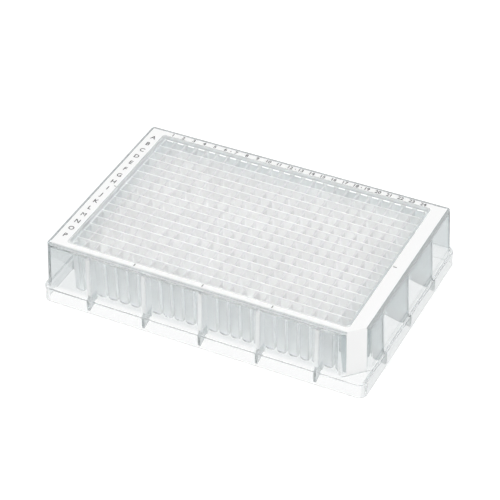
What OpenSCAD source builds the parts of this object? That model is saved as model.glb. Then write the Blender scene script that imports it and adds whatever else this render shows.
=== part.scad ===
// 384-well deep-well plate: a clear one-piece moulding with a white border moulded into its rim.
// Millimetres. Origin at the bottom centre, X along the 24 columns, Y along the 16 rows, +Z up.
// Column 1 is at -X and row A at +Y, so the corner with the chamfer is the one next to well P24.

/* [Footprint] */
// Length of the base along the columns
plate_l = 127.76; // [120:0.01:160]
// Width of the base along the rows
plate_w = 85.48; // [80:0.01:110]
// Overall height
plate_h = 25.6; // [20:0.1:45]
// Corner radius of the base
base_r = 3.2; // [1:0.1:6]
// Height of the base flange
flange_h = 6.6; // [4:0.1:10]
// Width of the ledge between the flange and the foot of the wall
ledge_w = 1.28; // [0.6:0.01:3]
// Thickness of the flange skirt
skirt_t = 1.2; // [0.8:0.05:2]
// Thickness of the ledge
ledge_t = 1.3; // [0.8:0.05:2]

/* [Wall and deck] */
// Thickness of the outer wall
wall_t = 1.1; // [0.7:0.05:2]
// Draft of the outer wall from the vertical, in degrees
wall_draft = 2.56; // [0.5:0.01:4]
// Corner radius of the wall at the top
wall_r = 1.2; // [1:0.1:3]
// Leg of the chamfer at the keyed corner, at the top
key_leg = 7; // [4:0.1:10]
// Thickness of the deck between the wall and the wells
deck_t = 2.1; // [1.6:0.1:4]
// Depth of the well field below the top of the rim
field_drop = 1; // [0.5:0.1:2]

/* [Wells] */
// Number of columns
columns = 24; // [8:1:24]
// Number of rows
rows = 16; // [6:1:16]
// Distance between well centres
well_pitch = 4.5; // [3.6:0.05:4.55]
// Width of the land between two neighbouring mouths
land_w = 0.8; // [0.5:0.05:1.2]
// Draft of the well walls from the vertical, in degrees
well_draft = 1.36; // [0.5:0.01:2]
// Wall thickness of a well
tube_wall = 0.42; // [0.3:0.01:0.6]
// Thickness of the well bottom at its centre
bottom_t = 0.75; // [0.5:0.05:1.5]
// Height of the lowest point of the wells above the table
well_clear = 2.6; // [1:0.1:6]
// Depth below the field in which neighbouring wells share their walls
shared_h = 4.6; // [2:0.1:8]

/* [Webs] */
// Number of wells from one web to the next
web_every = 5; // [3:1:8]
// Thickness of a web
web_t = 1.1; // [0.8:0.05:2]
// Height of a web's lower edge where it leaves the wells
web_high = 3.4; // [3:0.1:8]
// Height of a web's lower edge at the skirt
web_low = 0.8; // [0.3:0.1:3]

/* [White border] */
// Width of the clear rim outside the border
rim_w = 1; // [0.6:0.1:2]
// Width of the flat top of the clear lip inside the border
lip_w = 0.5; // [0.3:0.05:1]
// Slope of the lip's inner face, measured sideways
lip_slope = 0.5; // [0.2:0.05:1]
// Clear margin between the outer mouths and the foot of the lip
field_margin = 0.8; // [0.4:0.05:2]
// Corner radius of the border's opening
opening_r = 1.3; // [0.5:0.1:3]
// Thickness of the border
border_t = 1.2; // [0.6:0.1:2]
// Thickness of the border's leg at the keyed corner
leg_t = 1; // [0.6:0.1:1.5]
// Width of the border's leg
leg_w = 7.5; // [4:0.1:9]

/* [Hidden] */
$fn = 64;
HULL_FN = 32;
// How far a cutting solid runs past what it cuts, and a joined one into its neighbour
CUT = 1;
JOIN = 0.6;
// Step where a square well or tube meets its round bottom
CUP_STEP = 0.07;
// Smallest corner radius of an inner form, and the thickness of a hull's end slices
MIN_R = 0.05;
SLICE = 0.01;

deck_z = plate_h - deck_t;
field_z = plate_h - field_drop;
field_x = columns * well_pitch / 2;
field_y = rows * well_pitch / 2;

// Wall: half sizes at the top; below it the form widens by the draft
top_x = plate_l / 2 - ledge_w - spread(plate_h - flange_h);
top_y = plate_w / 2 - ledge_w - spread(plate_h - flange_h);

// Wells: the mouth at the field, and the foot at the centre of the round bottom. The foot's height
// solves foot_z = cup_z + foot_w / 2 - CUP_STEP, where foot_w = well_w(foot_z)
mouth_w = well_pitch - land_w;
cup_z = well_clear + bottom_t;
foot_z = (cup_z - CUP_STEP + mouth_w / 2 - field_z * tan(well_draft)) / (1 - tan(well_draft));
foot_w = well_w(foot_z);
cup_r = foot_w / 2 - CUP_STEP;

// Tubes: the round bulb below them, and the height where the groove between two of them closes
bulb_r = foot_w / 2 + tube_wall - CUP_STEP;
tube_z = well_clear + bulb_r;
groove_z = field_z - shared_h;

// Border: the opening leaves the mouths' margin, the sloped lip and its flat top
opening_x = field_x - land_w / 2 + field_margin + lip_slope + lip_w;
opening_y = field_y - land_w / 2 + field_margin + lip_slope + lip_w;

function spread(h) = h * tan(wall_draft);
function well_at(i, n) = (i - (n - 1) / 2) * well_pitch;
function well_w(z) = mouth_w - 2 * (field_z - z) * tan(well_draft);

// Number of webs on one side of the middle one, across n wells
function webs_beside(n) = floor((n / 2 - 1) / web_every);
function tube_w(z) = well_w(z) + 2 * tube_wall;

// Centres of the five rounded corners; the keyed one at +X -Y has two
function corner_posts(x, y, r, leg) = let (run = r * tan(22.5)) [
    [-x + r, -y + r],
    [-x + r, y - r],
    [x - r, y - r],
    [x - r, -y + leg + run],
    [x - leg - run, -y + r]
];

// Drafted solid of the wall's outline, moved in by inset, from z0 to z1
module wall_form(inset, z0, z1, leg) {
    hull()
        for (p = corner_posts(top_x, top_y, wall_r, leg))
            translate([p[0], p[1], z0])
                cylinder(
                    h = z1 - z0,
                    r1 = wall_r - inset + spread(plate_h - z0),
                    r2 = max(MIN_R, wall_r - inset + spread(plate_h - z1)),
                    $fn = HULL_FN
                );
}

module rounded_plate(x, y, r) {
    square([2 * x, 2 * (y - r)], center = true);
    square([2 * (x - r), 2 * y], center = true);
    for (sx = [-1, 1], sy = [-1, 1])
        translate([sx * (x - r), sy * (y - r)])
            circle(r);
}

module slab(x, y, r, z0, z1) {
    translate([0, 0, z0])
        linear_extrude(z1 - z0)
            rounded_plate(x, y, r);
}

// Parallel prisms along Y, one for each of n positions, tapering from w0 at z0 to w1 at z1
module ridges(n, length, w0, w1, z0, z1) {
    rotate([90, 0, 0])
        linear_extrude(length, center = true)
            for (i = [0 : n - 1])
                translate([well_at(i, n), 0])
                    polygon([[-w0 / 2, z0], [w0 / 2, z0], [w1 / 2, z1], [-w1 / 2, z1]]);
}

// Square frusta on the well grid: where the prisms of columns and rows cross
module square_grid(w0, w1, z0, z1) {
    intersection() {
        ridges(columns, 2 * field_y, w0, w1, z0, z1);
        rotate([0, 0, 90])
            ridges(rows, 2 * field_x, w0, w1, z0, z1);
    }
}

module on_grid() {
    for (i = [0 : columns - 1], j = [0 : rows - 1])
        translate([well_at(i, columns), well_at(j, rows), 0])
            children();
}

module well_cavities() {
    square_grid(foot_w, well_w(field_z + CUT), foot_z, field_z + CUT);
    on_grid()
        translate([0, 0, foot_z])
            sphere(cup_r);
}

// Outside of the wells: shared walls on top, separate tubes with round bulbs below
module well_block() {
    over = (tube_w(groove_z) - well_pitch) / 2;
    translate([-field_x - over, -field_y - over, groove_z - JOIN])
        cube([2 * (field_x + over), 2 * (field_y + over), field_z - groove_z + JOIN]);
    square_grid(tube_w(tube_z), tube_w(groove_z), tube_z, groove_z);
    on_grid()
        translate([0, 0, tube_z])
            sphere(bulb_r);
}

// One web in the XZ plane, from the wells out to the wall and down inside the skirt
module web(inner, wall_top, base) {
    foot = base - ledge_w;
    rotate([90, 0, 0])
        linear_extrude(web_t, center = true)
            polygon([
                [inner, web_high],
                [base - skirt_t / 2, web_low],
                [base - skirt_t / 2, flange_h - ledge_t / 2],
                [foot - wall_t / 2, flange_h],
                [wall_top - wall_t / 2, deck_z + JOIN],
                [inner, deck_z + JOIN]
            ]);
}

module webs() {
    for (turn = [0, 180]) {
        for (k = [-webs_beside(rows) : webs_beside(rows)])
            rotate([0, 0, turn])
                translate([0, k * web_every * well_pitch, 0])
                    web(field_x - well_pitch / 2, top_x, plate_l / 2);
        for (k = [-webs_beside(columns) : webs_beside(columns)])
            rotate([0, 0, turn + 90])
                translate([0, k * web_every * well_pitch, 0])
                    web(field_y - well_pitch / 2, top_y, plate_w / 2);
    }
}

module outer_shell() {
    difference() {
        union() {
            slab(plate_l / 2, plate_w / 2, base_r, 0, flange_h);
            wall_form(0, flange_h - ledge_t, plate_h, key_leg);
        }
        slab(plate_l / 2 - skirt_t, plate_w / 2 - skirt_t, base_r - skirt_t, -CUT, flange_h - ledge_t);
        wall_form(wall_t, flange_h - ledge_t - CUT, deck_z, key_leg + leg_t * sqrt(2));
    }
}

// Well field below the rim, with a sloped lip all round
module field_recess() {
    foot_x = opening_x - lip_w - lip_slope;
    foot_y = opening_y - lip_w - lip_slope;
    wide = lip_slope * (field_drop + CUT) / field_drop;
    hull() {
        slab(foot_x, foot_y, opening_r, field_z, field_z + SLICE);
        slab(foot_x + wide, foot_y + wide, opening_r, plate_h + CUT - SLICE, plate_h + CUT);
    }
}

// Prism over the border's flat ring, square at the keyed corner
module ring_prism(z0, z1) {
    difference() {
        translate([0, 0, z0])
            linear_extrude(z1 - z0)
                square([2 * (top_x - rim_w), 2 * (top_y - rim_w)], center = true);
        slab(opening_x, opening_y, opening_r, z0 - CUT, z1 + CUT);
    }
}

// Block that stands through the middle of the chamfered face, leg_t deep into the wall
module leg_prism(z0, z1) {
    reach = leg_t + spread(plate_h - z0) + CUT;
    difference() {
        translate([top_x - key_leg / 2, -top_y + key_leg / 2, z0])
            rotate([0, 0, -45])
                translate([-reach, -leg_w / 2, 0])
                    cube([2 * reach, leg_w, z1 - z0]);
        wall_form(leg_t, z0 - CUT, z1 + CUT, key_leg);
    }
}

// The wall's own form trims ring and leg alike, so both lie flush in the chamfered face
module border_solid() {
    intersection() {
        wall_form(0, flange_h, plate_h, key_leg);
        union() {
            ring_prism(plate_h - border_t, plate_h);
            leg_prism(flange_h, plate_h - border_t / 2);
        }
    }
}

module plate_body() {
    color([0.86, 0.89, 0.9, 0.5])
        difference() {
            union() {
                outer_shell();
                well_block();
                webs();
            }
            well_cavities();
            field_recess();
            border_solid();
        }
}

module white_border() {
    color("white") border_solid();
}

plate_body();
white_border();
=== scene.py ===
"""Looks of the deep-well plate: clear and white plastic, printed row and column marks, a white table."""

import math

import bmesh
import bpy
from mathutils import Matrix, Quaternion, Vector


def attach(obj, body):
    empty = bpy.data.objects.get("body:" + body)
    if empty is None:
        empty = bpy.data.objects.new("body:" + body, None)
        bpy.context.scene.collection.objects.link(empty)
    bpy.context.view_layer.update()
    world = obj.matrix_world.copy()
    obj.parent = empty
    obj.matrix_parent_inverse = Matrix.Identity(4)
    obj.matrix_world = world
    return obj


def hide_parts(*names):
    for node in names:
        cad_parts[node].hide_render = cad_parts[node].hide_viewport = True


MM = 0.001

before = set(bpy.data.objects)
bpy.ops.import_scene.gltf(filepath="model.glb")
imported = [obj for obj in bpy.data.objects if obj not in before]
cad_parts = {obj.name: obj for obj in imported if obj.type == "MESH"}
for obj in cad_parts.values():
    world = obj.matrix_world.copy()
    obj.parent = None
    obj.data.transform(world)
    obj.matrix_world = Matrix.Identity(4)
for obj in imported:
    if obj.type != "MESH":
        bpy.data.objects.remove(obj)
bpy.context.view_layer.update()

# Camera: looks at the plate's middle over its front-right corner
CAMERA_AZIMUTH = 26.33
CAMERA_ELEVATION = 38.09
CAMERA_ROLL = -0.57
CAMERA_DISTANCE = 746.05 * MM
CAMERA_TARGET = Vector((-1.08, 1.51, 12.8)) * MM
CAMERA_LENS = 146.46

# The CAD plate's driving sizes, in millimetres; X and Y sizes are halves
BASE_X, BASE_Y, BASE_R = 63.88, 42.74, 3.2
PLATE_H, FLANGE_H = 25.6, 6.6
SKIRT_T, LEDGE_W, LEDGE_T = 1.2, 1.28, 1.3
WALL_T, WALL_R = 1.1, 1.2
WALL_SLOPE = math.tan(math.radians(2.56))
WALL_X = BASE_X - LEDGE_W - (PLATE_H - FLANGE_H) * WALL_SLOPE
WALL_Y = BASE_Y - LEDGE_W - (PLATE_H - FLANGE_H) * WALL_SLOPE
KEY_LEG, LEG_T, LEG_W = 7.0, 1.0, 7.5
DECK_Z, FIELD_Z, GROOVE_Z = 23.5, 24.6, 19.4
PITCH, ROWS, COLUMNS = 4.5, 16, 24
FIELD_X, FIELD_Y = COLUMNS * PITCH / 2, ROWS * PITCH / 2
MOUTH_W, TUBE_WALL = 3.7, 0.42
WELL_SLOPE = math.tan(math.radians(1.36))
TUBE_LOW, CUP_LOW, TUBE_Z, CUP_Z = 2.6, 3.35, 4.33, 4.66
LIP_FOOT, LIP_SLOPE, LIP_W, LIP_R = 0.4, 0.5, 0.5, 1.3
LIP_TOTAL = LIP_FOOT + LIP_SLOPE + LIP_W
RIM_W, BORDER_T = 1.0, 1.2
WEB_T, WEB_HIGH, WEB_LOW, WEB_EVERY = 1.1, 3.4, 0.8, 22.5

# Roundings that the CAD solid leaves sharp; WELL_CORNER and TUBE_CORNER are shares of the half width
EDGE_R = 0.25
INNER_R = 0.12
FOOT_R = 0.7
FLANGE_R = 0.5
FILLET_R = 0.35
MOUTH_R = 0.32
SLAB_EDGE, SLAB_CORNER = 0.15, 0.6
WELL_CORNER, TUBE_CORNER = 0.36, 0.2

# Steps of the corners' arcs, and angles below the middle of a round bottom where it has its rings
ARC_STEPS = 10
WELL_STEPS = 3
LIP_STEPS = 8
DOME_ANGLES = (30, 55, 78)

# Shading: edges from this angle stay sharp, and how much the large faces lead
SHARP_ANGLE, FLAT_WEIGHT = 35, 80

# How far a form runs into what it joins, past what it cuts, past a face it opens, and into what it fuses with
JOIN, CUT, HAIR, FUSE = 0.6, 1, 0.01, 0.012

# Clear plastic: tints by zone, transmission and roughness of shell and wells, the light that one surface of
# either lets through to what it shades, and the colour and strength of the thickness. The tints of the
# flange's ends, the web feet, the rim, the block's sides and the near-black corner posts are painted shade;
# the wall's is the plastic's own grey with painted shade under the deck, darker still on the back; the outer
# tubes' is painted light
FLANGE_TINT, END_SHADE_TINT, FOOT_SHADE_TINT = (0.98, 0.985, 0.985), (0.8, 0.82, 0.825), (0.68, 0.705, 0.71)
WALL_TINT_AND_SHADE, BACK_SHADE_TINT, POST_SHADE_TINT = (0.84, 0.86, 0.865), (0.69, 0.74, 0.75), (0.06, 0.085, 0.09)
LIP_TINT, RIM_SHADE_TINT = (0.95, 0.955, 0.955), (0.5, 0.525, 0.53)
WELL_TINT, OUTER_LIGHT_TINT, SIDE_SHADE_TINT = (0.977, 0.976, 0.975), (0.985, 0.988, 0.99), (0.74, 0.79, 0.8)
CLARITY = (0.96, 0.6)
ROUGHNESS = (0.03, 0.06)
SHELL_SHADOW, WELL_SHADOW = (0.87, 0.88, 0.88), (0.97, 0.97, 0.97)
DEPTH_COLOUR, DEPTH_DENSITY = (0.6, 0.66, 0.67, 1), 25

# Milk that a zone has on top of the wells' own, and the share of it that a zone lacks. On the row crests
# and the dashes behind row A the milk is a painted highlight, between the outer tubes painted light, and on
# the rim and corner posts it carries their painted shade
CREST_HIGHLIGHT_MILK, GAP_LIGHT_MILK, DASH_HIGHLIGHT_MILK, LIP_MILK = 0.14, 0.6, 0.6, 0.25
RIM_SHADE_MILK, POST_SHADE_MILK = 0.6, 0.6
COLUMN_CLEAR, BOTTOM_CLEAR = 0.05, 0.9

# Widths of the soft edges between zones
FINE, SOFT, BROAD, LONG = 0.1, 0.2, 0.3, 1.0

# Sizes of the zones: half widths of a crest, a gap and the space between dashes; depths of the dashes, the
# outer tubes, the block's sides, the rim and the corner posts; the share of the block sides' painted shade
# at the block's back
CREST_W, GAP_W, DASH_GAP = 0.1, 0.35, 0.9
DASH_DEPTH, DASH_SOFT = 0.35, 0.15
OUTER_DEPTH, SIDE_DEPTH, RIM_DEPTH = 2.3, 0.2, 0.85
POST_X, POST_Y = 0.5, 1.65
BACK_SHADE_SHARE = 0.75

# White plastic and ink, each between two shades and two roughnesses; both plastics bend light alike
WHITE_SHADES, WHITE_ROUGHNESS = ((0.93, 0.935, 0.935), (0.955, 0.955, 0.952)), (0.3, 0.45)
INK_SHADES, INK_ROUGHNESS = ((0.025, 0.025, 0.028), (0.07, 0.07, 0.075)), (0.5, 0.7)
PLASTIC_IOR = 1.49

# Studio, in metres: strengths of the world, the table's glow and the far room. HORIZON is where the world
# turns from room to white, as a direction's height, and TABLE_FADE where the reflected table turns to room.
WORLD = 0.9
FLOOR_GLOW = 0.25
ROOM_GREY = 0.15
HORIZON = (0.08, 0.45)
TABLE_HALF, TABLE_FADE, TABLE_GREY = 3.0, (0.2, 0.6), 0.9
BOUNCES = 48

# Printed marks. Growth makes strokes bolder, CAP_SHARE is a capital's height in font sizes and MARK_ROUND the
# corner radius in widths of the mark. The left tick is shorter than the right one and nearer to the wells.
LETTERS = "ABCDEFGHIJKLMNOP"
LETTER_X, LETTER_CAP, LETTER_GROWTH = -57.97, 2.0, 0.03
NUMBER_Y, NUMBER_CAP, NUMBER_GROWTH = 38.35, 1.65, 0.045
CAP_SHARE = 0.69
TICK_L, TICK_W, DOT_W = 1.4, 0.35, 0.49
LEFT_TICK_L, LEFT_SHIFT, MARK_ROUND = 0.91, 0.6, 0.45
FRONT_SPACE, RIGHT_SPACE = 0.2, 0.5
QUARTERS = (6.5, 12.5, 18.5)
INK_T = 0.02


def column_x(k):
    """X of column k, from 1; halves lie between two columns."""
    return (k - (COLUMNS + 1) / 2) * PITCH


def row_y(r):
    """Y of row r, from 1 for row A; halves lie between two rows."""
    return ((ROWS + 1) / 2 - r) * PITCH


def add_object(name, data):
    """A new object in the scene."""
    obj = bpy.data.objects.new(name, data)
    bpy.context.scene.collection.objects.link(obj)
    return obj


# ------------------------------------------------------------------- solid forms


def arc(centre, radius, start, end, steps):
    """Points from one angle to another, in degrees."""
    for i in range(steps + 1):
        a = math.radians(start + (end - start) * i / steps)
        yield centre[0] + radius * math.cos(a), centre[1] + radius * math.sin(a)


def outline(half_x, half_y, post_r, leg, radius, z):
    """Ring round the plate: post_r places the corners' centres and radius is the way out from them."""
    px, py = half_x - post_r, half_y - post_r
    run = post_r * math.tan(math.radians(22.5)) if leg else post_r
    # Without a chamfer both its arcs have one centre, and the gap in degrees keeps their ends apart
    gap = 0 if leg else 2
    arcs = (
        ((half_x - leg - run, -py), -90, -45 - gap, ARC_STEPS // 2),
        ((px, -half_y + leg + run), -45 + gap, 0, ARC_STEPS // 2),
        ((px, py), 0, 90, ARC_STEPS),
        ((-px, py), 90, 180, ARC_STEPS),
        ((-px, -py), 180, 270, ARC_STEPS),
    )
    return [(x, y, z) for centre, a, b, n in arcs for x, y in arc(centre, radius, a, b, n)]


def base_ring(inset, z):
    """The flange's outline, moved in by inset."""
    return outline(BASE_X, BASE_Y, BASE_R, 0, BASE_R - inset, z)


def wall_ring(inset, z, leg=KEY_LEG):
    """The drafted wall's outline, moved in by inset."""
    return outline(WALL_X, WALL_Y, WALL_R, leg, WALL_R - inset + (PLATE_H - z) * WALL_SLOPE, z)


def rounded_ring(half_x, half_y, corner, z, steps, x=0, y=0):
    """Rounded rectangle round x, y."""
    corner = min(corner, half_x, half_y)
    px, py = half_x - corner, half_y - corner
    posts = ((px, py, 0), (-px, py, 90), (-px, -py, 180), (px, -py, 270))
    return [(x + u, y + v, z) for cx, cy, a in posts for u, v in arc((cx, cy), corner, a, a + 90, steps)]


def quarter(radius, steps=3):
    """(run, rise) along a quarter circle that starts upright and ends level."""
    for i in range(steps + 1):
        a = math.pi / 2 * i / steps
        yield radius * (1 - math.cos(a)), radius * math.sin(a)


def loft(bm, rings):
    """Closed solid through rings of as many points each, with a flat cap on both ends."""
    levels = [[bm.verts.new([c * MM for c in point]) for point in ring] for ring in rings]
    n = len(levels[0])
    for low, high in zip(levels, levels[1:]):
        for i in range(n):
            bm.faces.new((low[i], low[(i + 1) % n], high[(i + 1) % n], high[i]))
    bm.faces.new(levels[0][::-1])
    bm.faces.new(levels[-1])


def solid(name, *lofts):
    """A mesh object of one or more closed lofts."""
    bm = bmesh.new()
    for rings in lofts:
        loft(bm, rings)
    bmesh.ops.recalc_face_normals(bm, faces=bm.faces)
    mesh = bpy.data.meshes.new(name)
    bm.to_mesh(mesh)
    bm.free()
    return add_object(name, mesh)


def apply_modifiers(obj):
    """Turns what the modifiers make into the object's own mesh."""
    depsgraph = bpy.context.evaluated_depsgraph_get()
    mesh = bpy.data.meshes.new_from_object(obj.evaluated_get(depsgraph))
    obj.modifiers.clear()
    obj.data = mesh


def combine(obj, *steps):
    """Joins or cuts the object with others, which are used up: steps are (operation, other)."""
    for operation, other in steps:
        modifier = obj.modifiers.new(operation, "BOOLEAN")
        modifier.operation = operation
        modifier.solver = "MANIFOLD"
        modifier.object = other
    apply_modifiers(obj)
    for _, other in steps:
        bpy.data.objects.remove(other)
    return obj


def soften(obj):
    """Smooth shading that stays flat on the large faces and breaks at sharp edges."""
    obj.data.shade_smooth()
    obj.data.set_sharp_from_angle(angle=math.radians(SHARP_ANGLE))
    modifier = obj.modifiers.new("even_normals", "WEIGHTED_NORMAL")
    modifier.keep_sharp = True
    modifier.weight = FLAT_WEIGHT
    apply_modifiers(obj)
    return obj


def outer_form():
    """Flange and drafted wall as if the plate were a block."""
    rings = [base_ring(run, EDGE_R - rise) for run, rise in reversed(list(quarter(EDGE_R)))]
    rings += [base_ring(run, FLANGE_H - FLANGE_R + rise) for run, rise in quarter(FLANGE_R, steps=4)]
    rings += [wall_ring(rise - FILLET_R, FLANGE_H + run) for run, rise in quarter(FILLET_R)]
    rings += [wall_ring(run, PLATE_H - EDGE_R + rise) for run, rise in quarter(EDGE_R)]
    return solid("outer_form", rings)


def inner_form():
    """The hollow inside the skirt and the wall, up to the deck."""
    under = FLANGE_H - LEDGE_T
    leg = KEY_LEG + LEG_T * math.sqrt(2)
    rings = [base_ring(SKIRT_T - EDGE_R, -CUT)]
    rings += [base_ring(SKIRT_T - EDGE_R + rise, run) for run, rise in quarter(EDGE_R)]
    rings += [base_ring(SKIRT_T + run, under - FILLET_R + rise) for run, rise in quarter(FILLET_R)]
    rings += [wall_ring(WALL_T - FOOT_R + rise, under + run, leg) for run, rise in quarter(FOOT_R, steps=4)]
    rings += [wall_ring(WALL_T + run, DECK_Z - INNER_R + rise, leg) for run, rise in quarter(INNER_R)]
    return solid("inner_form", rings)


def square_ring(half, corner, z, x, y):
    """Rounded square round x, y; corner is a share of its half width."""
    return rounded_ring(half, half, half * corner, z, WELL_STEPS, x, y)


def dome(half, corner, low, middle, x, y):
    """Rings of a round bottom, from just above its lowest point up to its rounded-square middle."""
    for a in reversed(DOME_ANGLES):
        level, out = math.sin(math.radians(a)), math.cos(math.radians(a))
        yield square_ring(half * out, corner + (1 - corner) * level, middle - (middle - low) * level, x, y)
    yield square_ring(half, corner, middle, x, y)


def well_half(z):
    """Half width of a well's cavity."""
    return MOUTH_W / 2 - (FIELD_Z - z) * WELL_SLOPE


def tube_rings(x, y):
    """Outside of one well, from its round bottom up into the slab."""
    low = dome(well_half(TUBE_Z) + TUBE_WALL, TUBE_CORNER, TUBE_LOW, TUBE_Z, x, y)
    return [*low, square_ring(well_half(GROOVE_Z) + TUBE_WALL, TUBE_CORNER, GROOVE_Z + JOIN / 2, x, y)]


def cavity_rings(x, y):
    """Inside of one well, from its round bottom up past its rounded mouth."""
    rings = list(dome(well_half(CUP_Z), WELL_CORNER, CUP_LOW, CUP_Z, x, y))
    mouth = [(MOUTH_W / 2 + MOUTH_R - rise, FIELD_Z - run) for run, rise in quarter(MOUTH_R, steps=4)]
    # The widest ring lies a hair above the field, so that the cut opens it cleanly
    mouth[0] = (mouth[0][0], FIELD_Z + HAIR)
    rings += [square_ring(half, WELL_CORNER, z, x, y) for half, z in reversed(mouth)]
    return rings + [square_ring(mouth[0][0], WELL_CORNER, FIELD_Z + CUT / 2, x, y)]


def at_wells(rings):
    """The same rings at each of the wells."""
    return [rings(column_x(k), row_y(r)) for k in range(1, COLUMNS + 1) for r in range(1, ROWS + 1)]


def web(across, inner, wall_top, base, turn):
    """One web from the wells out to the wall and down inside the skirt."""
    side = [
        (inner, WEB_HIGH),
        (base - SKIRT_T / 2, WEB_LOW),
        (base - SKIRT_T / 2, FLANGE_H - LEDGE_T / 2),
        (base - LEDGE_W - WALL_T / 2, FLANGE_H),
        (wall_top - WALL_T / 2, DECK_Z + JOIN),
        (inner, DECK_Z + JOIN),
    ]
    turned = Matrix.Rotation(math.radians(turn), 3, "Z")
    return [[turned @ Vector((u, across + t, z)) for u, z in side] for t in (-WEB_T / 2, WEB_T / 2)]


def web_rings():
    """All the webs: those on the ends first, then those on the long sides, on either side in turn."""
    rows = int((FIELD_Y - PITCH) // WEB_EVERY)
    columns = int((FIELD_X - PITCH) // WEB_EVERY)
    rings = []
    for turn in (0, 180):
        for k in range(-rows, rows + 1):
            rings.append(web(k * WEB_EVERY, FIELD_X - PITCH / 2, WALL_X, BASE_X, turn))
        for k in range(-columns, columns + 1):
            rings.append(web(k * WEB_EVERY, FIELD_Y - PITCH / 2, WALL_Y, BASE_Y, turn + 90))
    return rings


def border_form(name, grow=0.0, top=PLATE_H):
    """The white border and its leg; grow moves every seated face out."""
    low = PLATE_H - BORDER_T - grow
    x, y = WALL_X - RIM_W + grow, WALL_Y - RIM_W + grow
    reach = (WALL_X + WALL_Y - KEY_LEG) / math.sqrt(2) + grow

    def face(z):
        """Way out to the chamfered face at a height."""
        return reach + (PLATE_H - z) * WALL_SLOPE

    def ring(z):
        cut = face(z) * math.sqrt(2)
        return [(x, x - cut, z), (x, y, z), (-x, y, z), (-x, -y, z), (cut - y, -y, z)]

    border = solid(name, [ring(low), ring(top)])
    lip = LIP_TOTAL - grow
    hole = [rounded_ring(FIELD_X + lip, FIELD_Y + lip, LIP_R, z, LIP_STEPS) for z in (low - CUT, top + CUT)]
    middle = Vector((WALL_X - KEY_LEG / 2, -WALL_Y + KEY_LEG / 2, 0))
    along, out = Vector((1, 1, 0)).normalized(), Vector((1, -1, 0)).normalized()
    half = LEG_W / 2 + grow

    def leg_ring(z):
        far = face(z) - middle.dot(out)
        near = far - LEG_T - 2 * grow
        corners = ((near, -half), (far, -half), (far, half), (near, half))
        return [middle + out * u + along * t + Vector((0, 0, z)) for u, t in corners]

    leg = [leg_ring(FLANGE_H - grow), leg_ring(PLATE_H - BORDER_T / 2)]
    return combine(border, ("DIFFERENCE", solid("opening", hole)), ("UNION", solid("leg", leg)))


def recess_form():
    """The sunk well field with its sloped lip, which goes on as far again above the rim."""
    half_x, half_y = FIELD_X + LIP_FOOT, FIELD_Y + LIP_FOOT
    wide, high = LIP_SLOPE * 2, (PLATE_H - FIELD_Z) * 2
    foot = rounded_ring(half_x, half_y, LIP_R, FIELD_Z, LIP_STEPS)
    above = rounded_ring(half_x + wide, half_y + wide, LIP_R + wide, FIELD_Z + high, LIP_STEPS)
    return solid("recess", [foot, above])


def slab_form():
    """Block of shared walls over the tubes, with its lower edge bevelled."""
    over = well_half(GROOVE_Z) + TUBE_WALL - PITCH / 2
    levels = ((SLAB_EDGE, GROOVE_Z), (0, GROOVE_Z + SLAB_EDGE), (0, DECK_Z + CUT / 2))
    x, y = FIELD_X + over, FIELD_Y + over
    return solid("slab", [rounded_ring(x - inset, y - inset, SLAB_CORNER, z, steps=4) for inset, z in levels])


def moulded_plate():
    """The clear plate as one solid."""
    plate = combine(
        outer_form(),
        ("DIFFERENCE", inner_form()),
        ("UNION", solid("webs", *web_rings())),
        ("UNION", slab_form()),
        ("UNION", solid("tubes", *at_wells(tube_rings))),
        ("DIFFERENCE", solid("cavities", *at_wells(cavity_rings))),
        ("DIFFERENCE", recess_form()),
        ("DIFFERENCE", border_form("seat", top=PLATE_H + CUT)),
    )
    plate.name = plate.data.name = "moulded_plate"
    return soften(plate)


def border_insert():
    """The border, grown a hair into the clear plastic it is fused with."""
    return soften(border_form("border_insert", grow=FUSE))


# ---------------------------------------------------------------- node helpers


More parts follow.
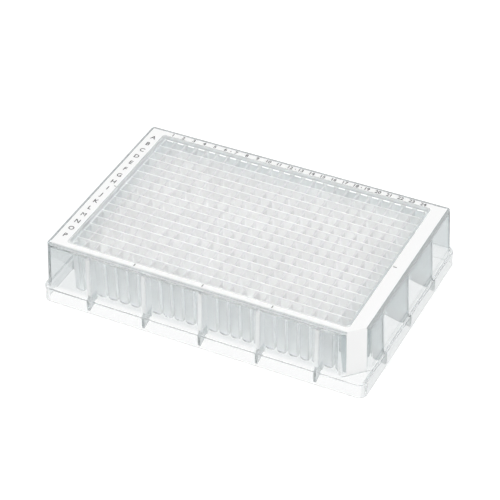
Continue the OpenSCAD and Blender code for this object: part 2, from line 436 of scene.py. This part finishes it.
class Graph:
    """A material's node tree with short calls to add and join nodes."""

    def __init__(self, name):
        self.material = bpy.data.materials.new(name)
        self.material.use_nodes = True
        self.tree = self.material.node_tree
        self.tree.nodes.clear()

    def add(self, kind, **values):
        node = self.tree.nodes.new(kind)
        for key, value in values.items():
            setattr(node, key, value)
        return node

    def join(self, source, target):
        self.tree.links.new(source, target)

    def coordinates(self):
        return self.add("ShaderNodeTexCoord").outputs["Object"]

    def noise(self, scale, detail=3.0):
        """Noise in the object's metres; scale is in cells per metre."""
        node = self.add("ShaderNodeTexNoise")
        node.inputs["Scale"].default_value = scale
        node.inputs["Detail"].default_value = detail
        self.join(self.coordinates(), node.inputs["Vector"])
        return node.outputs["Fac"]

    def span(self, value, low, high):
        """Maps a 0 to 1 value onto low to high."""
        node = self.add("ShaderNodeMapRange")
        node.inputs["To Min"].default_value = low
        node.inputs["To Max"].default_value = high
        self.join(value, node.inputs["Value"])
        return node.outputs["Result"]

    def blend_colours(self, value, first, second):
        """First colour where value is 0, second where it is 1; each is a tuple or a socket."""
        node = self.add("ShaderNodeMix", data_type="RGBA")
        self.join(value, node.inputs["Factor"])
        for colour, socket in ((first, node.inputs["A"]), (second, node.inputs["B"])):
            if isinstance(colour, tuple):
                socket.default_value = (*colour, 1)
            else:
                self.join(colour, socket)
        return node.outputs["Result"]

    def bump(self, height, distance, strength):
        node = self.add("ShaderNodeBump")
        node.inputs["Strength"].default_value = strength
        node.inputs["Distance"].default_value = distance
        self.join(height, node.inputs["Height"])
        return node.outputs["Normal"]

    def math(self, operation, first, second=0):
        node = self.add("ShaderNodeMath", operation=operation)
        for value, socket in ((first, node.inputs[0]), (second, node.inputs[1])):
            if isinstance(value, (int, float)):
                socket.default_value = value
            else:
                self.join(value, socket)
        return node.outputs["Value"]

    def product(self, first, *others):
        for other in others:
            first = self.math("MULTIPLY", first, other)
        return first

    def most(self, first, *others):
        for other in others:
            first = self.math("MAXIMUM", first, other)
        return first

    def ramp(self, value, start, end):
        """0 to 1 as a length in millimetres goes from start to end."""
        node = self.add("ShaderNodeMapRange")
        node.inputs["From Min"].default_value = start * MM
        node.inputs["From Max"].default_value = end * MM
        self.join(value, node.inputs["Value"])
        return node.outputs["Result"]

    def finish(self, shader, volume=None):
        output = self.add("ShaderNodeOutputMaterial")
        self.join(shader, output.inputs["Surface"])
        if volume:
            self.join(volume, output.inputs["Volume"])
        return self.material


class PlateGraph(Graph):
    """Node tree with masks for the plate's zones: 1 inside, 0 outside, and a soft edge between."""

    def __init__(self, name):
        super().__init__(name)
        parts = self.add("ShaderNodeSeparateXYZ")
        self.join(self.coordinates(), parts.inputs["Vector"])
        self.x, self.y, self.z = (parts.outputs[axis] for axis in "XYZ")
        self.far_x, self.far_y = (self.math("ABSOLUTE", side) for side in (self.x, self.y))
        # Way from the nearest middle line between two columns, and between two rows
        self.column_gap, self.row_gap = self.ways_from_lines(PITCH)
        from_webs = self.ways_from_lines(WEB_EVERY)
        self.web_planes = self.most(*(self.ramp(way, WEB_T, WEB_T / 2) for way in from_webs))
        self.block = self.within(FIELD_X, FIELD_Y)
        self.opening = self.within(FIELD_X + LIP_TOTAL - FINE, FIELD_Y + LIP_TOTAL - FINE, FINE)
        self.sunk = self.product(self.opening, self.ramp(self.z, FIELD_Z - SOFT, FIELD_Z))
        self.lands = self.product(self.ramp(self.z, FIELD_Z - BROAD, FIELD_Z - FINE), self.block)
        skirt = self.within(BASE_X - SKIRT_T - BROAD, BASE_Y - SKIRT_T - BROAD)
        self.feet = self.product(skirt, self.web_planes)

    def ways_from_lines(self, every):
        """Way along X and along Y to the nearest of evenly spaced lines, one of them through the middle."""
        return [self.math("PINGPONG", side, every / 2 * MM) for side in (self.x, self.y)]

    def deep(self, way, half, depth, edge=SOFT):
        """The outermost part of what ends this far from the middle, with its soft edge inside."""
        return self.ramp(way, half - depth - edge, half - depth)

    def within(self, half_x, half_y, edge=SOFT):
        """A rectangle round the middle, with its soft edge outside."""
        sides = ((self.far_x, half_x), (self.far_y, half_y))
        return self.product(*(self.ramp(far, half + edge, half) for far, half in sides))

    def wells(self):
        """Well block, webs and the lip in front of row P; only at the front is the lip as milky and light as
        the wells, which is painted light.
        """
        hollow = self.within(WALL_X - WALL_T - BROAD, WALL_Y - WALL_T - BROAD)
        above = self.product(self.most(hollow, self.web_planes), self.ramp(self.z, FLANGE_H, FLANGE_H + LONG))
        webs = self.product(self.most(above, self.feet), self.ramp(self.z, DECK_Z + FINE, DECK_Z - FINE))
        front_lip = self.product(self.sunk, self.ramp(self.y, LONG - FIELD_Y, -FIELD_Y))
        return self.most(self.block, front_lip, webs)

    def row_crests(self):
        """Tops of the lands between two rows."""
        return self.product(self.lands, self.ramp(self.row_gap, CREST_W + SOFT, CREST_W))

    def clearer(self):
        """How far the lands between columns and the tubes' bottoms are from the wells' milk."""
        columns = self.product(self.math("SUBTRACT", self.lands, self.row_crests()), COLUMN_CLEAR)
        low = self.ramp(self.z, TUBE_Z + 2 * SOFT, TUBE_Z - 2 * SOFT)
        bottoms = self.product(low, self.block, BOTTOM_CLEAR)
        return self.math("ADD", columns, bottoms)

    def below_slab(self):
        return self.ramp(self.z, GROOVE_Z + LONG, GROOVE_Z)

    def milkier(self, rim, posts):
        """Milk on top of the wells' own, from the lands' crests to the corner posts: painted highlights on
        the row crests and the dashes behind row A, painted light in the gaps between the outer tubes, and the
        milk under the rim's and corner posts' painted shade.
        """
        outer_x, outer_y = (
            self.deep(far, half, OUTER_DEPTH) for far, half in ((self.far_x, FIELD_X), (self.far_y, FIELD_Y))
        )
        gap_x, gap_y = (self.ramp(way, GAP_W + SOFT, GAP_W) for way in (self.column_gap, self.row_gap))
        gaps = self.most(self.product(gap_x, outer_y), self.product(gap_y, outer_x))
        gaps = self.product(gaps, self.block, self.below_slab(), GAP_LIGHT_MILK)
        crests = self.product(self.row_crests(), CREST_HIGHLIGHT_MILK)
        dashes = self.product(
            self.deep(self.y, FIELD_Y, DASH_DEPTH, DASH_SOFT),
            self.ramp(self.column_gap, DASH_GAP, DASH_GAP + FINE),
            self.lands,
            DASH_HIGHLIGHT_MILK,
        )
        lip = self.product(self.most(self.math("SUBTRACT", self.sunk, self.block), 0), LIP_MILK)
        rim, posts = self.product(rim, RIM_SHADE_MILK), self.product(posts, POST_SHADE_MILK)
        return self.most(self.math("ADD", crests, gaps), dashes, lip, rim, posts)

    def outer_tubes(self):
        """Tubes of the first and last row."""
        return self.product(self.deep(self.far_y, FIELD_Y, OUTER_DEPTH), self.below_slab())

    def block_sides(self):
        """Outer faces of the block at its ends and, in part, at its back."""
        lean = self.most(self.product(self.math("SUBTRACT", GROOVE_Z * MM, self.z), WELL_SLOPE), 0)
        ends, back = (
            self.deep(self.math("ADD", way, lean), half, SIDE_DEPTH)
            for way, half in ((self.far_x, FIELD_X), (self.y, FIELD_Y))
        )
        sides = self.most(ends, self.product(back, BACK_SHADE_SHARE))
        return self.product(sides, self.ramp(self.z, FIELD_Z - SOFT, FIELD_Z - SOFT - BROAD))

    def web_feet(self):
        """Webs within the flange."""
        feet = self.math("SUBTRACT", self.feet, self.block)
        return self.most(self.product(feet, self.ramp(self.z, FLANGE_H + 2 * BROAD, FLANGE_H - SOFT)), 0)

    def rim(self):
        """Clear strip outside the border at the ends and the back."""
        sides = self.most(self.deep(self.far_x, WALL_X, RIM_DEPTH), self.deep(self.y, WALL_Y, RIM_DEPTH))
        seat = PLATE_H - BORDER_T
        return self.product(sides, self.ramp(self.z, seat, seat + BROAD))

    def posts(self, rim):
        """Corners of the wall, up to the rim."""
        draft = self.product(self.math("SUBTRACT", PLATE_H * MM, self.z), WALL_SLOPE)
        corner = (
            self.deep(self.math("SUBTRACT", far, draft), wall, depth)
            for far, wall, depth in ((self.far_x, WALL_X, POST_X), (self.far_y, WALL_Y, POST_Y))
        )
        above = self.ramp(self.z, FLANGE_H + FINE, FLANGE_H + FINE + BROAD)
        return self.product(*corner, above, self.math("SUBTRACT", 1, rim))

    def shell_tint(self, rim, posts):
        """Tint outside the wells, from flange and wall to lip, rim and corners, with painted shade: darker at
        the flange's ends, on the wall under the deck and more on its back, and darkest on the rim and the
        corners.
        """
        end = self.deep(self.far_x, BASE_X, SKIRT_T, BROAD)
        back = self.deep(self.y, WALL_Y, WALL_T + LONG, LONG)
        wall = self.ramp(self.z, FLANGE_H - BROAD, FLANGE_H - BROAD + LONG)
        lip = self.product(self.ramp(self.z, DECK_Z - BROAD, DECK_Z + BROAD), self.opening)
        tint = self.blend_colours(end, FLANGE_TINT, END_SHADE_TINT)
        tint = self.blend_colours(wall, tint, self.blend_colours(back, WALL_TINT_AND_SHADE, BACK_SHADE_TINT))
        for zone, colour in ((lip, LIP_TINT), (rim, RIM_SHADE_TINT), (posts, POST_SHADE_TINT)):
            tint = self.blend_colours(zone, tint, colour)
        return tint

    def well_tint(self):
        """Tint of the wells, with painted light on the outer tubes and painted shade on the block's sides."""
        tint = self.blend_colours(self.outer_tubes(), WELL_TINT, OUTER_LIGHT_TINT)
        return self.blend_colours(self.block_sides(), tint, SIDE_SHADE_TINT)


# ------------------------------------------------------------------- materials


def clear_plastic():
    """Natural polypropylene: clear in the shell, milky in the wells and webs, with a grey-green depth, and
    with painted light and shade by zone.
    """
    g = PlateGraph("clear_plastic")
    wells, rim = g.wells(), g.rim()
    posts = g.posts(rim)
    milky = g.math("SUBTRACT", wells, g.clearer())
    tint = g.blend_colours(wells, g.shell_tint(rim, posts), g.well_tint())
    skin = g.add("ShaderNodeBsdfPrincipled")
    skin.inputs["IOR"].default_value = PLASTIC_IOR
    # The webs within the flange take a darker tint: painted shade
    g.join(g.blend_colours(g.web_feet(), tint, FOOT_SHADE_TINT), skin.inputs["Base Color"])
    # Transmission, lowered where the painted highlights, the painted light and the rim's and posts' painted
    # shade lie
    clarity = g.math("SUBTRACT", g.span(milky, *CLARITY), g.milkier(rim, posts))
    g.join(clarity, skin.inputs["Transmission Weight"])
    g.join(g.span(milky, *ROUGHNESS), skin.inputs["Roughness"])
    waves = g.noise(scale=180, detail=2.0)
    g.join(g.bump(waves, distance=0.05 * MM, strength=0.3), skin.inputs["Normal"])
    lets_through = g.add("ShaderNodeBsdfTransparent")
    g.join(g.blend_colours(milky, SHELL_SHADOW, WELL_SHADOW), lets_through.inputs["Color"])
    path = g.add("ShaderNodeLightPath")
    both = g.add("ShaderNodeMixShader")
    g.join(path.outputs["Is Shadow Ray"], both.inputs["Fac"])
    g.join(skin.outputs["BSDF"], both.inputs[1])
    g.join(lets_through.outputs["BSDF"], both.inputs[2])
    depth = g.add("ShaderNodeVolumeAbsorption")
    depth.inputs["Color"].default_value = DEPTH_COLOUR
    depth.inputs["Density"].default_value = DEPTH_DENSITY
    return g.finish(both.outputs["Shader"], depth.outputs["Volume"])


def white_plastic():
    """Opaque white polypropylene with a satin mould finish."""
    g = Graph("white_plastic")
    skin = g.add("ShaderNodeBsdfPrincipled")
    skin.inputs["IOR"].default_value = PLASTIC_IOR
    grain = g.noise(scale=2500, detail=4.0)
    g.join(g.blend_colours(g.noise(scale=60), *WHITE_SHADES), skin.inputs["Base Color"])
    g.join(g.span(grain, *WHITE_ROUGHNESS), skin.inputs["Roughness"])
    g.join(g.bump(grain, distance=0.01 * MM, strength=0.5), skin.inputs["Normal"])
    return g.finish(skin.outputs["BSDF"])


def print_ink():
    """Dark grey pad-print ink, a little uneven."""
    g = Graph("print_ink")
    skin = g.add("ShaderNodeBsdfPrincipled")
    speckle = g.noise(scale=6000, detail=4.0)
    g.join(g.blend_colours(speckle, *INK_SHADES), skin.inputs["Base Color"])
    g.join(g.span(speckle, *INK_ROUGHNESS), skin.inputs["Roughness"])
    return g.finish(skin.outputs["BSDF"])


def set_material(obj, material):
    for slot in obj.material_slots:
        slot.material = material
    if not obj.material_slots:
        obj.data.materials.append(material)


# ------------------------------------------------------------------------ print


def text_mesh(name, words):
    """One mesh of flat text; words holds (text, x, y, capital height, growth), each centred there."""
    meshes = []
    for text, x, y, cap, growth in words:
        curve = bpy.data.curves.new(name, "FONT")
        curve.body = text
        curve.align_x = "CENTER"
        curve.align_y = "CENTER"
        curve.size = cap / CAP_SHARE * MM
        curve.extrude = INK_T * MM / 2
        curve.offset = growth * MM
        curve.resolution_u = 3
        obj = add_object(name, curve)
        obj.location = Vector((x, y, PLATE_H + INK_T / 2)) * MM
        meshes.append(obj)
    bpy.context.view_layer.update()
    with bpy.context.temp_override(
        active_object=meshes[0], object=meshes[0], selected_objects=meshes, selected_editable_objects=meshes
    ):
        bpy.ops.object.convert(target="MESH")
        bpy.ops.object.join()
    joined = meshes[0]
    joined.name = name
    joined.data.name = name
    return joined


def mark_mesh(name, marks):
    """One mesh of flat bars with round ends; marks holds (x, y, length, width, turn in degrees)."""
    bars = []
    for x, y, length, width, turn in marks:
        seat = Matrix.Translation((x, y, PLATE_H)) @ Matrix.Rotation(math.radians(turn), 4, "Z")
        ring = rounded_ring(length / 2, width / 2, width * MARK_ROUND, z=0, steps=3)
        bars.append([[seat @ Vector((u, v, z)) for u, v, _ in ring] for z in (0, INK_T)])
    return solid(name, *bars)


def quarter_marks():
    """Ticks between wells on the front and the ends, and dots between the numbers, at every quarter."""
    front = -(FIELD_Y + LIP_TOTAL + FRONT_SPACE + TICK_L / 2)
    right = FIELD_X + LIP_TOTAL + RIGHT_SPACE + TICK_L / 2
    marks = [(column_x(k), front, TICK_L, TICK_W, 90) for k in QUARTERS]
    marks += [(right, 0, TICK_L, TICK_W, 0), (LEFT_SHIFT - right, 0, LEFT_TICK_L, TICK_W, 0)]
    return marks + [(column_x(k), NUMBER_Y, DOT_W, DOT_W, 0) for k in QUARTERS]


def add_print(ink):
    """Puts the marks, letters and numbers on the border; M's outline stands no growth."""
    letters = [
        (letter, LETTER_X, row_y(r), LETTER_CAP, 0 if letter == "M" else LETTER_GROWTH)
        for r, letter in enumerate(LETTERS, 1)
    ]
    numbers = [(str(k), column_x(k), NUMBER_Y, NUMBER_CAP, NUMBER_GROWTH) for k in range(1, COLUMNS + 1)]
    pieces = [mark_mesh("quarter_marks", quarter_marks())]
    for name, words in (("row_letters", letters), ("column_numbers", numbers)):
        pieces.append(text_mesh(name, words))
    for piece in pieces:
        set_material(piece, ink)
        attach(piece, "root")


# ------------------------------------------------------------------------ stage


def add_floor():
    """White table: shows as white itself and in the plastic, and still takes the plate's soft shadow."""
    corners = [(x * TABLE_HALF, y * TABLE_HALF, 0) for x, y in ((-1, -1), (1, -1), (1, 1), (-1, 1))]
    mesh = bpy.data.meshes.new("floor")
    mesh.from_pydata(corners, [], [(0, 1, 2, 3)])
    floor = add_object("floor", mesh)
    g = Graph("white_table")
    matte = g.add("ShaderNodeBsdfDiffuse")
    matte.inputs["Color"].default_value = (TABLE_GREY, TABLE_GREY, TABLE_GREY, 1)
    glow = g.add("ShaderNodeEmission")
    glow.inputs["Strength"].default_value = FLOOR_GLOW
    shown = g.add("ShaderNodeAddShader")
    g.join(matte.outputs["BSDF"], shown.inputs[0])
    g.join(glow.outputs["Emission"], shown.inputs[1])
    path = g.add("ShaderNodeLightPath")
    by_camera = g.add("ShaderNodeMixShader")
    g.join(path.outputs["Is Camera Ray"], by_camera.inputs["Fac"])
    g.join(matte.outputs["BSDF"], by_camera.inputs[1])
    g.join(shown.outputs["Shader"], by_camera.inputs[2])
    through = g.most(path.outputs["Is Transmission Ray"], path.outputs["Is Glossy Ray"])
    away = g.add("ShaderNodeVectorMath", operation="LENGTH")
    g.join(g.coordinates(), away.inputs[0])
    fade = g.add("ShaderNodeMapRange", interpolation_type="SMOOTHSTEP")
    fade.inputs["From Min"].default_value, fade.inputs["From Max"].default_value = TABLE_FADE
    fade.inputs["To Min"].default_value = 1.0
    fade.inputs["To Max"].default_value = ROOM_GREY
    g.join(away.outputs["Value"], fade.inputs["Value"])
    seen = g.add("ShaderNodeEmission")
    g.join(fade.outputs["Result"], seen.inputs["Strength"])
    by_plastic = g.add("ShaderNodeMixShader")
    g.join(through, by_plastic.inputs["Fac"])
    g.join(by_camera.outputs["Shader"], by_plastic.inputs[1])
    g.join(seen.outputs["Emission"], by_plastic.inputs[2])
    set_material(floor, g.finish(by_plastic.outputs["Shader"]))


def add_world():
    """White studio above, greyer towards the horizon; the camera itself sees plain white."""
    world = bpy.data.worlds.new("studio")
    bpy.context.scene.world = world
    world.use_nodes = True
    tree = world.node_tree
    background = tree.nodes["Background"]
    coordinates = tree.nodes.new("ShaderNodeTexCoord")
    parts = tree.nodes.new("ShaderNodeSeparateXYZ")
    band = tree.nodes.new("ShaderNodeMapRange")
    band.interpolation_type = "SMOOTHSTEP"
    band.inputs["From Min"].default_value, band.inputs["From Max"].default_value = HORIZON
    band.inputs["To Min"].default_value = ROOM_GREY
    band.inputs["To Max"].default_value = WORLD
    path = tree.nodes.new("ShaderNodeLightPath")
    even = tree.nodes.new("ShaderNodeMix")
    even.inputs["B"].default_value = WORLD
    pick = tree.nodes.new("ShaderNodeMix")
    pick.inputs["B"].default_value = 1
    for source, target in (
        (coordinates.outputs["Generated"], parts.inputs["Vector"]),
        (parts.outputs["Z"], band.inputs["Value"]),
        (path.outputs["Is Diffuse Ray"], even.inputs["Factor"]),
        (band.outputs["Result"], even.inputs["A"]),
        (path.outputs["Is Camera Ray"], pick.inputs["Factor"]),
        (even.outputs["Result"], pick.inputs["A"]),
        (pick.outputs["Result"], background.inputs["Strength"]),
    ):
        tree.links.new(source, target)
    background.inputs["Color"].default_value = (1, 1, 1, 1)


def direction(azimuth, elevation):
    """Unit vector towards a place seen from the plate; azimuth 0 is in front, along -Y."""
    a = math.radians(azimuth)
    e = math.radians(elevation)
    return Vector((math.sin(a) * math.cos(e), -math.cos(a) * math.cos(e), math.sin(e)))


def add_lamp(name, azimuth, elevation, distance, size, power):
    """Round lamp that looks at the origin."""
    lamp = bpy.data.lights.new(name, "AREA")
    lamp.shape = "DISK"
    lamp.size = size
    lamp.energy = power
    obj = add_object(name, lamp)
    obj.location = direction(azimuth, elevation) * distance
    obj.rotation_mode = "QUATERNION"
    obj.rotation_quaternion = (-obj.location).to_track_quat("-Z", "Y")


def add_camera():
    """The scene's camera, at the product picture's angle."""
    camera = bpy.data.cameras.new("camera")
    camera.lens = CAMERA_LENS
    camera.clip_start = 10 * MM
    obj = add_object("camera", camera)
    away = direction(CAMERA_AZIMUTH, CAMERA_ELEVATION)
    obj.location = CAMERA_TARGET + away * CAMERA_DISTANCE
    obj.rotation_mode = "QUATERNION"
    roll = Quaternion((0, 0, 1), math.radians(CAMERA_ROLL))
    obj.rotation_quaternion = (-away).to_track_quat("-Z", "Y") @ roll
    bpy.context.scene.camera = obj


add_camera()
add_floor()
add_world()
add_lamp("key_light", azimuth=10, elevation=65, distance=1.2, size=0.5, power=2.05)

plate = moulded_plate()
set_material(plate, clear_plastic())
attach(plate, "root")
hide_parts("plate_body")
border = border_insert()
set_material(border, white_plastic())
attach(border, "root")
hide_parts("white_border")
add_print(print_ink())

bpy.context.scene.view_settings.view_transform = "Standard"
for kind in (
    "max_bounces",
    "diffuse_bounces",
    "glossy_bounces",
    "transmission_bounces",
    "transparent_max_bounces",
):
    setattr(bpy.context.scene.cycles, kind, BOUNCES)
bpy.context.scene.cycles.blur_glossy = 0
